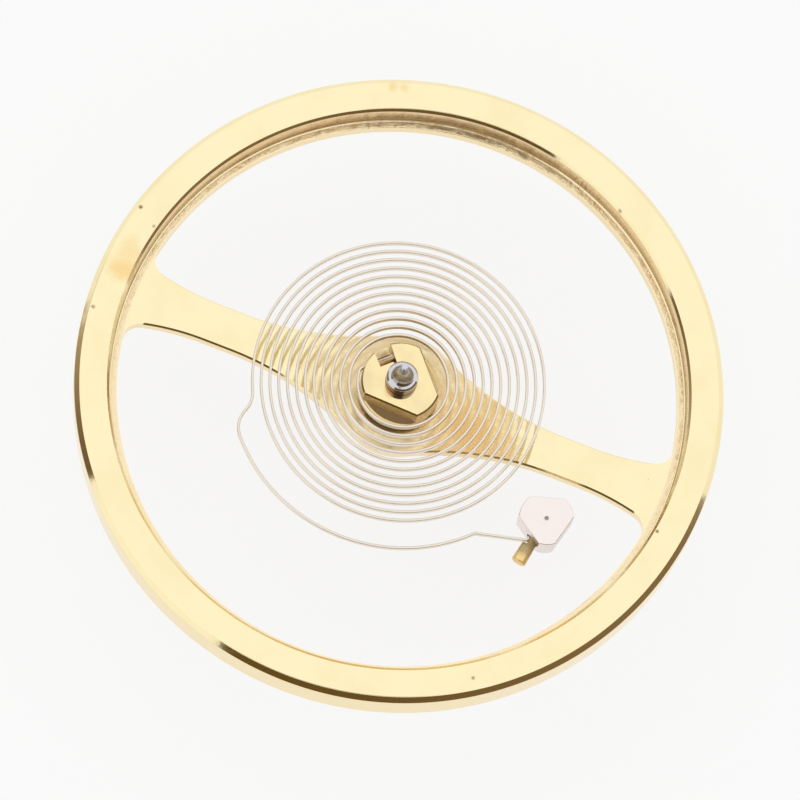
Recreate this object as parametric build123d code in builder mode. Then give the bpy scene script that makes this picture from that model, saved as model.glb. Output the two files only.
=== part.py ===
from build123d import *
from math import acos, asin, atan2, ceil, cos, degrees, hypot, pi, radians, sin, sqrt
import os

# Two-arm balance wheel of a wrist watch, with its staff, collet, hairspring and stud.
# All sizes are millimetres. The staff stands along +Z and the arms lie along X.
# The origin is the tip of the lower pivot.

os.makedirs("parts", exist_ok=True)

# Fits
press_gap = 0.004  # radial room drawn where one piece is pressed on another
pin_gap = 0.005  # room between a pin, the strip and the wall of their hole
edge_break = 0.012  # small bevel on turned edges
overrun = 0.5  # how far a cut runs past the metal

# Balance wheel
wheel_radius = 5.0
rim_height = 0.8
rim_width = 0.543
rim_bevel = 0.083
rim_lower_bevel = 0.11
rim_below_web = 0.16
ledge_width = 0.125
web_thickness = 0.2
hub_radius = 0.96
arm_waist_half_width = 0.32
arm_end_half_width = 0.53
arm_corner_radius = 0.26
waist_start_share = 0.612  # of the way out to the ledge
waist_end_share = 0.716
ledge_middle_share = 0.5

# Balance staff, from the lower pivot up
pivot_radius = 0.055
pivot_length = 0.18
lower_cone_radius = 0.14
lower_cone_length = 0.16
roller_seat_radius = 0.215
roller_seat_length = 0.76
flange_radius = 0.46
flange_thickness = 0.2
hub_seat_radius = 0.30
rivet_spread = 0.05
rivet_height = 0.05
collet_seat_radius = 0.243
collet_seat_length = 0.90
shoulder_bevel = 0.03
shoulder_ring_width = 0.063
upper_cone_length = 0.31

# Double roller and impulse jewel
table_radius = 0.75
table_thickness = 0.18
neck_radius = 0.29
seat_below_roller = 0.12
safety_radius = 0.35
safety_thickness = 0.14
passing_hollow_radius = 0.12
passing_hollow_offset = 0.06  # of its centre, outside the safety roller
jewel_edge = 0.12  # of the table, outside the jewel
jewel_radius = 0.11
jewel_flat_distance = 0.05
jewel_above_safety = 0.01

# Collet
collet_radius = 0.615
collet_height = 0.52
collet_lift = 0.14  # above the rivet
collet_bevel = 0.025
shelf_depth = 0.32  # how far down the flats go
lower_flat_distance = 0.43
lower_flat_turn = -92
upper_flat_distance = 0.4625
upper_flat_turn = 41
slit_width = 0.05
slit_before_window = 4.5  # degrees from the middle of the hole's chord
window_depth_back = 0.10  # from the hole's axis towards the staff
window_length = 0.25
window_past_slit = 0.035
collet_pin_flat_distance = 0.002
collet_hole_room = 0.002  # beyond the strip's corners
collet_pin_taper = 0.004
collet_pin_recess = 0.03

# Hairspring
strip_thickness = 0.04
strip_height = 0.10
spring_depth = 0.16  # from the collet's top to the strip's middle
coil_pitch = 0.1347
strip_clear_of_collet = 0.026
coil_start_turn = 185
coil_turns = 12
last_turn = 20
inner_bend = 51.5
inner_bend_radius = 0.094
inner_leg_length = 0.62
knee_radius = 0.42
terminal_step = 0.343  # from the last coil out to the terminal arc
kink_turn = -44
kink_radius = 0.06
stud_bend_radius = 0.05
stud_leg_margin = 0.03  # of straight strip outside the stud
stud_leg_inside_share = 0.8  # of the hole's length

# Stud and its pin
stud_past_terminal = 0.477
stud_turn = -23.85
stud_rod_radius = 0.42
stud_flat_distance = 0.33
stud_flat_turns = (108, -14, -124)
stud_height = 0.50
stud_above_strip = 0.29  # from the strip's middle to the stud's top
stud_bevel = 0.02
stud_hole_turn = -100
stud_hole_offset = 0.035  # to the strip's side of the stud's middle
stud_hole_room = 0.015  # beyond the strip's corners
punch_radius = 0.035
punch_depth = 0.03
stud_pin_overhang = 0.41
stud_pin_taper_share = 0.04  # of its length
stud_pin_flat_distance = 0.03
stud_pin_round = 0.03
stud_pin_recess = 0.02

# Levels above the lower pivot's tip
lower_cone_top = pivot_length + lower_cone_length
flange_bottom = lower_cone_top + roller_seat_length
web_bottom = flange_bottom + flange_thickness
web_top = web_bottom + web_thickness
rim_bottom = web_bottom - rim_below_web
rim_top = rim_bottom + rim_height
rivet_top = web_top + rivet_height
shoulder_level = rivet_top + collet_seat_length
upper_cone_top = shoulder_level + upper_cone_length
staff_top = upper_cone_top + pivot_length
collet_bottom = rivet_top + collet_lift
collet_top = collet_bottom + collet_height
spring_level = collet_top - spring_depth
stud_top = spring_level + stud_above_strip
stud_bottom = stud_top - stud_height
roller_bottom = lower_cone_top + seat_below_roller
table_bottom = flange_bottom - table_thickness
safety_top = roller_bottom + safety_thickness
jewel_bottom = safety_top + jewel_above_safety

rim_bore_radius = wheel_radius - rim_width
ledge_radius = rim_bore_radius - ledge_width
jewel_distance = table_radius - jewel_edge - jewel_flat_distance


def polar(distance, turn):
    """A point in plan, from its distance and its direction in degrees."""
    return Vector(distance * cos(radians(turn)), distance * sin(radians(turn)))


def export(builder, name):
    """Label a finished piece and write it."""
    builder.part.label = name
    export_step(builder.part, f"parts/{name}.step")


# Balance wheel: a turned rim, and a flat web of ledge, arms and hub near its lower face.
# Each flank of an arm is straight at the waist, runs tangent into the hub's round on one
# side and flares into the ledge on the other.
waist_start = waist_start_share * ledge_radius
waist_end = waist_end_share * ledge_radius
arm_end = ledge_radius + ledge_middle_share * ledge_width
flare_radius = (waist_start**2 + arm_waist_half_width**2 - hub_radius**2) / (
    2 * (hub_radius - arm_waist_half_width)
)
root_turn = degrees(atan2(arm_waist_half_width + flare_radius, waist_start))

with BuildPart() as balance_wheel:
    with BuildSketch(Plane.XZ):
        with BuildLine():
            Polyline(
                (rim_bore_radius, rim_bottom),
                (wheel_radius - rim_lower_bevel, rim_bottom),
                (wheel_radius, rim_bottom + rim_lower_bevel),
                (wheel_radius, rim_top - rim_bevel),
                (wheel_radius - rim_bevel, rim_top),
                (rim_bore_radius, rim_top),
                close=True,
            )
        make_face()
    revolve(axis=Axis.Z)
    with BuildSketch(Plane.XY.offset(web_bottom)) as web:
        Circle(rim_bore_radius + rim_width / 2)
        Circle(ledge_radius, mode=Mode.SUBTRACT)
        with BuildSketch() as arms:
            with BuildLine():
                hub_round = CenterArc((0, 0), hub_radius, 90, root_turn - 90)
                TangentArc(
                    (waist_start, arm_waist_half_width), hub_round @ 1, tangent=(-1, 0)
                )
                Line((waist_start, arm_waist_half_width), (waist_end, arm_waist_half_width))
                TangentArc(
                    (waist_end, arm_waist_half_width), (arm_end, arm_end_half_width), tangent=(1, 0)
                )
                Polyline((arm_end, arm_end_half_width), (arm_end, 0), (0, 0), hub_round @ 0)
            make_face()
            mirror(about=Plane.XZ)
            mirror(about=Plane.YZ)
        corners = web.vertices().filter_by(
            lambda corner: abs(hypot(corner.X, corner.Y) - ledge_radius) < press_gap
        )
        fillet(corners, arm_corner_radius)
        Circle(hub_seat_radius + press_gap, mode=Mode.SUBTRACT)
    extrude(amount=web_thickness)
export(balance_wheel, "balance_wheel")

# Balance staff: turned all over, with trumpet pivots
upper_cone_radius = collet_seat_radius - shoulder_ring_width

with BuildPart() as balance_staff:
    with BuildSketch(Plane.XZ):
        with BuildLine():
            Polyline((0, staff_top), (0, 0), (pivot_radius, 0), (pivot_radius, pivot_length))
            TangentArc(
                (pivot_radius, pivot_length), (lower_cone_radius, lower_cone_top), tangent=(0, 1)
            )
            Polyline(
                (lower_cone_radius, lower_cone_top),
                (roller_seat_radius, lower_cone_top),
                (roller_seat_radius, flange_bottom),
                (flange_radius - edge_break, flange_bottom),
                (flange_radius, flange_bottom + edge_break),
                (flange_radius, web_bottom),
                (hub_seat_radius, web_bottom),
                (hub_seat_radius, web_top),
                (hub_seat_radius + rivet_spread, web_top),
                (hub_seat_radius, rivet_top),
                (collet_seat_radius, rivet_top),
                (collet_seat_radius, shoulder_level - shoulder_bevel),
                (collet_seat_radius - shoulder_bevel, shoulder_level),
                (upper_cone_radius, shoulder_level),
            )
            TangentArc(
                (pivot_radius, upper_cone_top), (upper_cone_radius, shoulder_level), tangent=(0, -1)
            )
            Polyline((pivot_radius, upper_cone_top), (pivot_radius, staff_top), (0, staff_top))
        make_face()
    revolve(axis=Axis.Z)
export(balance_staff, "balance_staff")


def jewel_section(room):
    """The jewel's D section, grown by some room, in the open sketch."""
    with Locations((0, jewel_distance)):
        Circle(jewel_radius + room)
    with Locations((0, jewel_distance + jewel_flat_distance + room)):
        Rectangle(
            2 * overrun, 2 * overrun, align=(Align.CENTER, Align.MIN), mode=Mode.SUBTRACT
        )


# Double roller: table, neck and safety roller in one, pressed up to the staff's flange
with BuildPart() as double_roller:
    with BuildSketch(Plane.XZ):
        with BuildLine():
            Polyline(
                (roller_seat_radius + press_gap, flange_bottom),
                (table_radius - edge_break, flange_bottom),
                (table_radius, flange_bottom - edge_break),
                (table_radius, table_bottom + edge_break),
                (table_radius - edge_break, table_bottom),
                (neck_radius, table_bottom),
                (neck_radius, safety_top),
                (safety_radius, safety_top),
                (safety_radius, roller_bottom),
                (roller_seat_radius + press_gap, roller_bottom),
                close=True,
            )
        make_face()
    revolve(axis=Axis.Z)
    with BuildSketch(Plane.XY.offset(roller_bottom)):
        with Locations((0, safety_radius + passing_hollow_offset)):
            Circle(passing_hollow_radius)
    extrude(amount=safety_thickness, mode=Mode.SUBTRACT)
    with BuildSketch(Plane.XY.offset(table_bottom)) as jewel_hole:
        jewel_section(press_gap)
    extrude(amount=table_thickness, mode=Mode.SUBTRACT)
export(double_roller, "double_roller")

# Impulse jewel: a D-shaped ruby, flush with the table's top and standing out below
with BuildPart() as impulse_jewel:
    with BuildSketch(Plane.XY.offset(jewel_bottom)):
        jewel_section(0)
    extrude(amount=flange_bottom - jewel_bottom)
export(impulse_jewel, "impulse_jewel")

# The spring's inner end lies in a hole bored along a chord of the collet, beside its pin.
# The bend outside the collet fixes how far from the staff that chord lies.
innermost_radius = collet_radius + strip_clear_of_collet + strip_thickness / 2
inner_strip_distance = innermost_radius * cos(radians(inner_bend)) + inner_bend_radius * (
    1 - cos(radians(inner_bend))
)
collet_strip_offset = collet_pin_flat_distance + pin_gap + strip_thickness / 2
collet_hole_distance = inner_strip_distance - collet_strip_offset
collet_hole_radius = (
    hypot(strip_height / 2, collet_strip_offset + strip_thickness / 2) + collet_hole_room
)
leg_heading = coil_start_turn + 90 - inner_bend
chord_turn = leg_heading - 90
collet_hole_plane = Plane(
    origin=tuple(polar(collet_hole_distance, chord_turn) + Vector(0, 0, spring_level)),
    x_dir=tuple(polar(1, chord_turn)),
    z_dir=tuple(polar(1, leg_heading)),
)

with BuildPart() as collet:
    with BuildSketch(Plane.XY.offset(collet_bottom)):
        Circle(collet_radius)
    extrude(amount=collet_height)
    with BuildSketch(Plane.XY.offset(collet_top)):
        with Locations(Location((0, 0), lower_flat_turn)):
            with Locations((lower_flat_distance, 0)):
                Rectangle(overrun, 2 * collet_radius, align=(Align.MIN, Align.CENTER))
        with Locations(Location((0, 0), upper_flat_turn)):
            with Locations((upper_flat_distance, 0)):
                Rectangle(overrun, 2 * collet_radius, align=(Align.MIN, Align.CENTER))
    extrude(amount=-shelf_depth, mode=Mode.SUBTRACT)
    chamfer(collet.faces().sort_by(Axis.Z)[-1].edges(), collet_bevel)
    chamfer(collet.faces().sort_by(Axis.Z)[0].edges(), collet_bevel)
    with BuildSketch(Plane.XY.offset(collet_bottom)):
        Circle(collet_seat_radius + press_gap)
        with Locations(Location((0, 0), chord_turn - slit_before_window)):
            Rectangle(2 * collet_radius, slit_width, align=(Align.MIN, Align.CENTER))
    extrude(amount=collet_height, mode=Mode.SUBTRACT)
    with BuildSketch(Plane.XY.offset(collet_top)):
        with Locations(Location((0, 0), chord_turn)):
            with Locations((collet_hole_distance - window_depth_back, -window_past_slit)):
                Rectangle(overrun, window_length, align=(Align.MIN, Align.MIN))
    extrude(amount=-spring_depth, mode=Mode.SUBTRACT)
    with BuildSketch(collet_hole_plane):
        Circle(collet_hole_radius)
    extrude(amount=collet_radius, both=True, mode=Mode.SUBTRACT)
export(collet, "collet")

# Collet pin: a slow taper with a flat for the strip
collet_pin_radius = collet_hole_radius - pin_gap
collet_pin_reach = sqrt(collet_radius**2 - collet_hole_distance**2) - collet_pin_recess

with BuildPart() as collet_pin:
    with BuildSketch(collet_hole_plane.offset(-collet_pin_reach)):
        Circle(collet_pin_radius)
    with BuildSketch(collet_hole_plane.offset(collet_pin_reach)):
        Circle(collet_pin_radius - collet_pin_taper)
    loft()
    split(
        bisect_by=Plane(
            origin=collet_hole_plane.from_local_coords((collet_pin_flat_distance, 0, 0)),
            z_dir=collet_hole_plane.x_dir,
        ),
        keep=Keep.BOTTOM,
    )
export(collet_pin, "collet_pin")

# Stud and the line of its hole, level with the spring. The hole opens in the last flat,
# which leans to the hole, so its face comes nearer on the strip's side.
coil_end_radius = innermost_radius + coil_turns * coil_pitch
terminal_radius = coil_end_radius + terminal_step
stud_centre = polar(terminal_radius + stud_past_terminal, stud_turn)
hole_out = polar(1, stud_hole_turn)
hole_left = polar(1, stud_hole_turn - 90)
stud_hole_plane = Plane(
    origin=tuple(stud_centre + hole_left * stud_hole_offset + Vector(0, 0, spring_level)),
    x_dir=tuple(hole_left),
    z_dir=tuple(hole_out),
)
stud_strip_offset = stud_pin_flat_distance + pin_gap + strip_thickness / 2
stud_hole_radius = (
    hypot(strip_height / 2, stud_strip_offset + strip_thickness / 2) + stud_hole_room
)
mouth_lean = radians(stud_hole_turn - stud_flat_turns[2])


def mouth_distance(side):
    """How far out along the hole the stud's face lies, at some distance to the left."""
    return (stud_flat_distance - side * sin(mouth_lean)) / cos(mouth_lean)


with BuildPart() as stud:
    with BuildSketch(Plane.XY.offset(stud_bottom)):
        with Locations(tuple(stud_centre)):
            Circle(stud_rod_radius)
        for flat_turn in stud_flat_turns:
            flat_middle = stud_centre + polar(stud_flat_distance, flat_turn)
            with Locations(Location(tuple(flat_middle), flat_turn)):
                Rectangle(
                    overrun,
                    2 * stud_rod_radius,
                    align=(Align.MIN, Align.CENTER),
                    mode=Mode.SUBTRACT,
                )
    extrude(amount=stud_height)
    stud_ends = stud.faces().filter_by(Axis.Z)
    chamfer(stud_ends.edges(), stud_bevel)
    with BuildSketch(stud_hole_plane):
        Circle(stud_hole_radius)
    extrude(amount=stud_rod_radius + overrun, both=True, mode=Mode.SUBTRACT)
    with Locations(tuple(stud_centre + Vector(0, 0, stud_top))):
        Cone(
            edge_break,
            punch_radius,
            punch_depth,
            align=(Align.CENTER, Align.CENTER, Align.MAX),
            mode=Mode.SUBTRACT,
        )
export(stud, "stud")

# Stud pin: a taper whose round head stands out on the side where the strip comes in. It is
# filed flat along the strip, as far out as the strip's bend.
stud_leg_side = stud_hole_offset + stud_strip_offset
stud_leg_out = mouth_distance(stud_leg_side) + stud_leg_margin
stud_pin_mouth = mouth_distance(stud_hole_offset)
stud_pin_tip = stud_pin_mouth + stud_pin_overhang
stud_pin_root = stud_pin_recess - stud_flat_distance
stud_pin_flat_end = stud_leg_out + stud_bend_radius + strip_thickness + pin_gap


def stud_pin_radius(out):
    """The taper's radius at a place along the hole, close to the hole's at its mouth."""
    return stud_hole_radius - pin_gap + stud_pin_taper_share * (out - stud_pin_mouth)


with BuildPart() as stud_pin:
    with BuildSketch(stud_hole_plane.offset(stud_pin_root)):
        Circle(stud_pin_radius(stud_pin_root))
    with BuildSketch(stud_hole_plane.offset(stud_pin_tip)):
        Circle(stud_pin_radius(stud_pin_tip))
    loft()
    head_edge = stud_pin.edges().filter_by(GeomType.CIRCLE).sort_by(Axis((0, 0), hole_out))[-1]
    fillet(head_edge, stud_pin_round)
    with BuildSketch(stud_hole_plane.offset(stud_pin_flat_end)):
        with Locations((stud_pin_flat_distance, 0)):
            Rectangle(overrun, overrun, align=(Align.MIN, Align.CENTER))
    extrude(amount=stud_pin_root - stud_pin_flat_end, mode=Mode.SUBTRACT)
export(stud_pin, "stud_pin")


def cross_tangent(first_centre, second_centre, radii):
    """Heading and length of the line from a right-hand bend to a left-hand bend."""
    across = second_centre - first_centre
    heading = atan2(across.Y, across.X) - asin(radii / across.length)
    return degrees(heading), sqrt(across.length**2 - radii**2)


# Hairspring, from the collet out. Its coils are half turns about two centres, each wider
# than the last by half the pitch, and a knee lifts the end to the terminal circle.
coil_start = polar(innermost_radius, coil_start_turn)
bend_centre = coil_start + polar(inner_bend_radius, coil_start_turn + 180)
bend_start = bend_centre + polar(inner_bend_radius, leg_heading - 90)
inner_end = bend_start - polar(inner_leg_length, leg_heading)

coil_end_turn = coil_start_turn + last_turn
knee_in = coil_end_radius + knee_radius
knee_out = terminal_radius - knee_radius
knee_turn = degrees(
    acos((knee_in**2 + (2 * knee_radius) ** 2 - knee_out**2) / (4 * knee_radius * knee_in))
)
knee_swing = degrees(
    acos((knee_in**2 + knee_out**2 - (2 * knee_radius) ** 2) / (2 * knee_in * knee_out))
)
terminal_start_turn = coil_end_turn + knee_swing
terminal_sweep = kink_turn + 360 - terminal_start_turn

kink_centre = polar(terminal_radius + kink_radius, kink_turn)
stud_leg_start = stud_centre + hole_out * stud_leg_out + hole_left * stud_leg_side
stud_bend_centre = stud_leg_start + hole_left * stud_bend_radius
link_heading, link_length = cross_tangent(
    kink_centre, stud_bend_centre, kink_radius + stud_bend_radius
)
stud_leg_length = stud_leg_margin + stud_leg_inside_share * 2 * stud_flat_distance
stud_leg_heading = stud_hole_turn + 180

with BuildPart() as hairspring:
    with BuildLine() as route:
        piece = Line(inner_end, bend_start)
        piece = JernArc(piece @ 1, piece % 1, inner_bend_radius, inner_bend)
        for half_turn in range(2 * coil_turns):
            coil_radius = innermost_radius + (half_turn + 1 / 2) * coil_pitch / 2
            piece = JernArc(piece @ 1, piece % 1, coil_radius, 180)
        piece = JernArc(piece @ 1, piece % 1, coil_end_radius, last_turn)
        piece = JernArc(piece @ 1, piece % 1, knee_radius, -knee_turn)
        piece = JernArc(piece @ 1, piece % 1, knee_radius, knee_turn + knee_swing)
        piece = JernArc(piece @ 1, piece % 1, terminal_radius, terminal_sweep)
        piece = JernArc(piece @ 1, piece % 1, kink_radius, link_heading - kink_turn - 90)
        piece = PolarLine(piece @ 1, link_length, link_heading)
        piece = JernArc(piece @ 1, piece % 1, stud_bend_radius, stud_leg_heading - link_heading)
        PolarLine(piece @ 1, stud_leg_length, stud_leg_heading)
    strip_path = route.wire().moved(Location((0, 0, spring_level)))
    with BuildSketch(Plane(strip_path @ 0, x_dir=(0, 0, 1), z_dir=strip_path % 0)) as strip:
        Rectangle(strip_height, strip_thickness)
    sweep(path=strip_path)
export(hairspring, "hairspring")

# The strip's least gap to itself, between points over half a turn apart along it
samples = 1800
spring_length = strip_path.length
points = [strip_path @ (step / samples) for step in range(samples + 1)]
apart = ceil(samples * pi * innermost_radius / spring_length)
least = min(
    hypot(point.X - other.X, point.Y - other.Y)
    for step, point in enumerate(points)
    for other in points[step + apart :]
)
print(f"hairspring length {spring_length:.2f} mm, least gap to itself {least - strip_thickness:.3f} mm")
section_volume = strip_height * strip_thickness * spring_length
print(f"hairspring volume {hairspring.part.volume:.5f}, section times length {section_volume:.5f}")
print(f"bend radii {inner_bend_radius}, {knee_radius}, {kink_radius} and {stud_bend_radius} mm")
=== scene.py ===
# %% [markdown]
# # A wrist-watch balance
#
# The balance is the part of a mechanical watch that keeps time. A gilt wheel swings to and
# fro on a steel staff, against a flat spiral spring. In this lesson each piece is modelled
# the way a watchmaker would make it: turned, sawn, drilled and polished.
#
# The imported CAD model is the frame. It gives the place of every piece, so it is loaded first.

# %% Load the frame
from math import acos, asin, atan2, ceil, cos, degrees, hypot, pi, radians, sin, sqrt

import bmesh
import bpy
from mathutils import Matrix, Vector, kdtree
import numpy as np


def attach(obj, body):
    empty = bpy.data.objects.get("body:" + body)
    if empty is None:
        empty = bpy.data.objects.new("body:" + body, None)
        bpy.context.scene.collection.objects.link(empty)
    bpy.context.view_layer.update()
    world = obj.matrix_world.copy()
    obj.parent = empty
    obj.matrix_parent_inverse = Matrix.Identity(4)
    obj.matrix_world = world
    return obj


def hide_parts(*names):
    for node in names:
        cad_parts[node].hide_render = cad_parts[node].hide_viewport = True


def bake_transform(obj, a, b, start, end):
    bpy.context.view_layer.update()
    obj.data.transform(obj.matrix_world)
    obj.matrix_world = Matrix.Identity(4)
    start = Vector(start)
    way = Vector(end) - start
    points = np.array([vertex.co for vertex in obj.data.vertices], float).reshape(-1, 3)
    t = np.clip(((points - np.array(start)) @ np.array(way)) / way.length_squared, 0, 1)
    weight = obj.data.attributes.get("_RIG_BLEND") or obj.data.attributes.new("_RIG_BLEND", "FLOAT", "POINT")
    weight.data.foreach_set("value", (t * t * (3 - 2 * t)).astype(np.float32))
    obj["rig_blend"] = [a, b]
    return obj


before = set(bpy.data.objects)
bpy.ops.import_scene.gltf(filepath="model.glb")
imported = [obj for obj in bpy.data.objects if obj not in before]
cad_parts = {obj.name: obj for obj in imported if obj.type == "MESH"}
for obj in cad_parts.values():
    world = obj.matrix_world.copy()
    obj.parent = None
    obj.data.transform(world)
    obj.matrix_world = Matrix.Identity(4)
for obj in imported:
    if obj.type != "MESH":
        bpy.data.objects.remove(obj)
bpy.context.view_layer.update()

# %% [markdown]
# ## The camera
#
# The photograph looks down on the wheel from about 17 degrees off the staff, through a long
# lens, with the watch part turned a little in the frame. A long lens keeps far and near parts
# nearly the same size, so it is placed nearly ten wheel widths away. The camera's three axes are
# written out and put in a matrix, because a camera with a roll has no simple pair of angles.

# %% Camera
MM = 0.001
photo_side_px = 800
photo_px_per_mm = 64.668
camera_distance_mm = 97.7
camera_tilt = radians(17.1)
camera_roll = radians(-14.28)
arm_turn = radians(-7.1)
rim_bottom = 1.14
axis_px = (395.96, 399.85)
frame_middle_px = (photo_side_px - 1) / 2

level_right = Vector((cos(arm_turn), -sin(arm_turn), 0))
level_up = Vector(
    (sin(arm_turn) * cos(camera_tilt), cos(arm_turn) * cos(camera_tilt), sin(camera_tilt))
)
to_camera = level_right.cross(level_up)
camera_right = level_right * cos(camera_roll) - level_up * sin(camera_roll)
camera_up = level_right * sin(camera_roll) + level_up * cos(camera_roll)
aim = (
    Vector((0, 0, rim_bottom))
    + camera_right * (frame_middle_px - axis_px[0]) / photo_px_per_mm
    - camera_up * (frame_middle_px - axis_px[1]) / photo_px_per_mm
)
camera_data = bpy.data.cameras.new("photo_camera")
camera = bpy.data.objects.new("photo_camera", camera_data)
bpy.context.scene.collection.objects.link(camera)
camera.matrix_world = (
    Matrix.Translation((aim + to_camera * camera_distance_mm) * MM)
    @ Matrix((camera_right, camera_up, to_camera)).transposed().to_4x4()
)
camera_data.lens = (
    camera_data.sensor_width * camera_distance_mm * photo_px_per_mm / photo_side_px
)
camera_data.clip_start = 10 * MM
camera_data.clip_end = 10
bpy.context.scene.camera = camera
print("camera lens", round(camera_data.lens, 1), "mm, looking along", -to_camera)

# %% [markdown]
# ## The stage
#
# The part lies on a plain white sheet under an even white sky. Polished metal shows nothing
# but its surroundings, so what stands around the part matters as much as the lamps. In the
# photograph the near edges carry a dark line with a gap at the lower left, so two warm dark
# walls stand low down on the camera's side with a gap between them. A dark disc stands for the
# camera itself. All three are cards that only reflections see.

# %% Sheet, sky and lamp
scene = bpy.context.scene
scene.view_settings.view_transform = "Standard"


def new_nodes(owner):
    """Turn on an owner's nodes and clear them."""
    owner.use_nodes = True
    owner.node_tree.nodes.clear()
    return owner.node_tree


def new_material(name):
    """A material and its empty tree of nodes."""
    material = bpy.data.materials.new(name)
    return material, new_nodes(material)


def fill(tree, socket, value):
    """Give an input its value, or a link if the value is another node's output."""
    if isinstance(value, bpy.types.NodeSocket):
        tree.links.new(value, socket)
    elif value is not None:
        socket.default_value = value


def add_node(tree, kind, **values):
    """Add a node and set what is named: an attribute if it has one, and else an input."""
    node = tree.nodes.new(kind)
    for name, value in values.items():
        if hasattr(node, name):
            setattr(node, name, value)
        else:
            fill(tree, node.inputs[name.replace("_", " ")], value)
    return node


def number(tree, operation, first, second=None, clamp=False):
    """A math node on two values, each a socket or a number."""
    node = add_node(tree, "ShaderNodeMath", operation=operation, use_clamp=clamp)
    fill(tree, node.inputs[0], first)
    fill(tree, node.inputs[1], second)
    return node.outputs[0]


def vector(tree, operation, first, second=None):
    """A math node on vectors, which gives a vector or a number."""
    node = add_node(tree, "ShaderNodeVectorMath", operation=operation)
    fill(tree, node.inputs[0], first)
    fill(tree, node.inputs[1], second)
    return node.outputs


def ramp(tree, value, low, high, to_low=0.0, to_high=1.0):
    """Turn one range of a value into another, smoothly and with its ends held."""
    return add_node(
        tree, "ShaderNodeMapRange", interpolation_type="SMOOTHSTEP", Value=value,
        From_Min=low, From_Max=high, To_Min=to_low, To_Max=to_high,
    ).outputs["Result"]


def mix_colour(tree, share, first, second):
    """Mix two colours, each a socket or a plain colour."""
    node = add_node(tree, "ShaderNodeMix", data_type="RGBA")
    fill(tree, node.inputs[0], share)
    for socket, colour in ((node.inputs[6], first), (node.inputs[7], second)):
        fill(tree, socket, colour if isinstance(colour, bpy.types.NodeSocket) else (*colour, 1))
    return node.outputs[2]


def seen_rays(tree):
    """The kinds of ray, and a one for those from the camera or from a mirror."""
    rays = add_node(tree, "ShaderNodeLightPath")
    return rays, number(
        tree, "MAXIMUM", rays.outputs["Is Camera Ray"], rays.outputs["Is Glossy Ray"]
    )


def mix_shaders(tree, output, share, first, second):
    """Mix two shaders by a share and lead them to the output."""
    mix = add_node(tree, "ShaderNodeMixShader")
    for socket, value in zip(mix.inputs, (share, first.outputs[0], second.outputs[0])):
        fill(tree, socket, value)
    add_node(tree, output, Surface=mix.outputs[0])


def stand_facing(thing, place):
    """Stand an object at a place in metres, with its face towards the part."""
    thing.location = place
    thing.rotation_mode = "QUATERNION"
    thing.rotation_quaternion = place.to_track_quat("Z", "Y")


WHITE = (1, 1, 1, 1)
sky_light = 0.8  # as a light; where it is seen, the sky is plain white
sheet_level = -0.3
sheet_glow = 0.8  # the share of the sheet's white that no shadow darkens

scene.world = bpy.data.worlds.new("white_sky")
sky = new_nodes(scene.world)
sky_rays, sky_seen = seen_rays(sky)
mix_shaders(
    sky, "ShaderNodeOutputWorld",
    number(sky, "MAXIMUM", sky_seen, sky_rays.outputs["Is Transmission Ray"]),
    add_node(sky, "ShaderNodeBackground", Color=WHITE, Strength=sky_light),
    add_node(sky, "ShaderNodeBackground", Color=WHITE, Strength=1.0),
)

bpy.ops.mesh.primitive_plane_add(size=2, location=(0, 0, sheet_level * MM))
sheet = bpy.context.object
sheet.name = "white_sheet"
sheet_material, paper = new_material("white_paper")
sheet.data.materials.append(sheet_material)
mix_shaders(
    paper, "ShaderNodeOutputMaterial",
    number(paper, "MULTIPLY", seen_rays(paper)[1], sheet_glow),
    add_node(paper, "ShaderNodeBsdfDiffuse", Color=(0.92, 0.92, 0.92, 1)),
    add_node(paper, "ShaderNodeEmission", Color=WHITE, Strength=1.0),
)

lamp_data = bpy.data.lights.new("soft_box", "AREA")
lamp_data.shape = "DISK"
lamp_data.size = 120 * MM
lamp_data.energy = 0.012
lamp = bpy.data.objects.new("soft_box", lamp_data)
scene.collection.objects.link(lamp)
stand_facing(lamp, Vector((-60, 50, 120)) * MM)
lamp.visible_glossy = False
print("sheet, sky and one soft lamp")

# %% Cards that only reflections see


def work_in(mode):
    """Change to edit mode, or back to object mode."""
    bpy.ops.object.mode_set(mode=mode)


def pick_all():
    """Select the whole mesh."""
    bpy.ops.mesh.select_all(action="SELECT")


def reflected_only(card, colour):
    """Show a card to glossy rays alone, and give back the nodes of its glow."""
    material, tree = new_material(card.name)
    glow = add_node(tree, "ShaderNodeEmission", Color=(*colour, 1), Strength=1.0)
    add_node(tree, "ShaderNodeOutputMaterial", Surface=glow.outputs[0])
    card.data.materials.append(material)
    card.visible_camera = False
    card.visible_diffuse = False
    card.visible_shadow = False
    card.visible_transmission = False
    return tree, glow


def from_near(turn):
    """A level direction, turned in degrees to the right from the camera's side."""
    near = atan2(to_camera.y, to_camera.x)
    return Vector((cos(near + radians(turn)), sin(near + radians(turn)), 0))


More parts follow.
